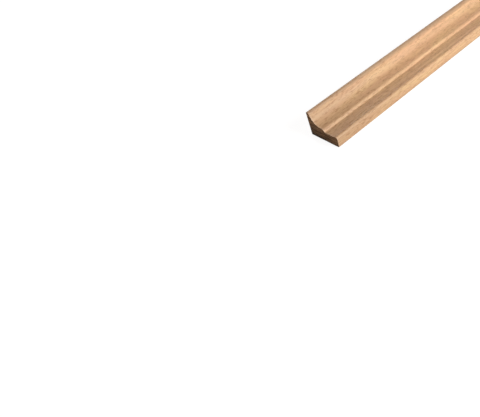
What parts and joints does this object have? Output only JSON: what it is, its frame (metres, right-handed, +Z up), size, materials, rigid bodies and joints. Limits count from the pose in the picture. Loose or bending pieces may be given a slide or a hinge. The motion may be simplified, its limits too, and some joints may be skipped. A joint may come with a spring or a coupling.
{
  "type": "led strip moulding",
  "caption": "Straight hardwood cove moulding with a flat channel and low front lip that hold and hide a stick-on LED strip; flat back and base for fixing to a cabinet or wall.",
  "frame": {"origin": "middle of the base, halfway along the length", "axes": "+X along the length, +Z up from the base to the top land, -Y towards the front lip, +Y out of the flat back"},
  "size_m": [1.22, 0.027, 0.019],
  "materials": {
    "hardwood": "planed and sanded, unfinished"
  },
  "bodies": {
    "root": {"moulding": "hardwood"}
  },
  "joints": []
}
